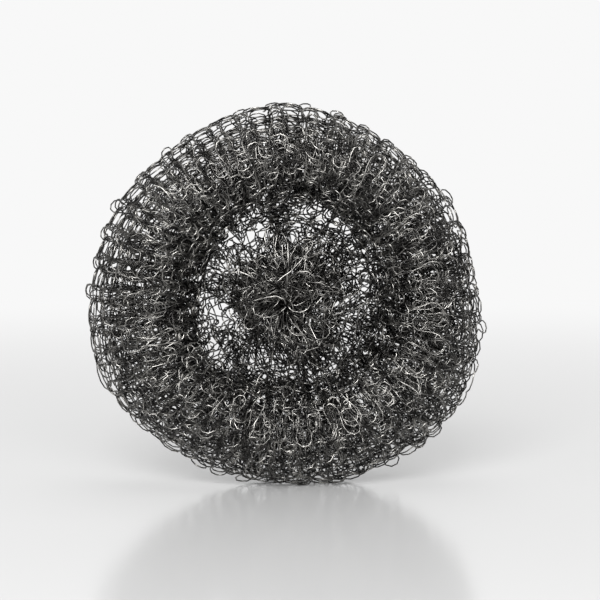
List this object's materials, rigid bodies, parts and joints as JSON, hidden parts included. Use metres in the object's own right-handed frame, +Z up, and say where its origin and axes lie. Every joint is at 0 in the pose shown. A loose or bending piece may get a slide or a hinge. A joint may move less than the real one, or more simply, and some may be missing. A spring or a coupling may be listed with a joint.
{
  "type": "pot scrubber",
  "caption": "Round pot scrubber of knitted galvanised wire: a knitted tube rolled up into a ring, its end gathered across the hole and tied, standing on its rim.",
  "frame": {"origin": "middle of the flattened place on the rim where the scrubber stands", "axes": "+Z up, +Y along the axis of the ring towards its back, where the tie is"},
  "size_m": [0.09, 0.025, 0.0887],
  "materials": {
    "galvanised_wire": "dull, drawn wire",
    "tie_wire": "dull, soft annealed wire"
  },
  "bodies": {
    "root": {"outer_turn": "galvanised_wire", "inner_turn_2": "galvanised_wire", "inner_turn_3": "galvanised_wire", "inner_turn_4": "galvanised_wire", "rolled_core": "galvanised_wire", "gathered_centre": "galvanised_wire", "gathered_tuft": "galvanised_wire", "tie_wire": "tie_wire"}
  },
  "joints": []
}
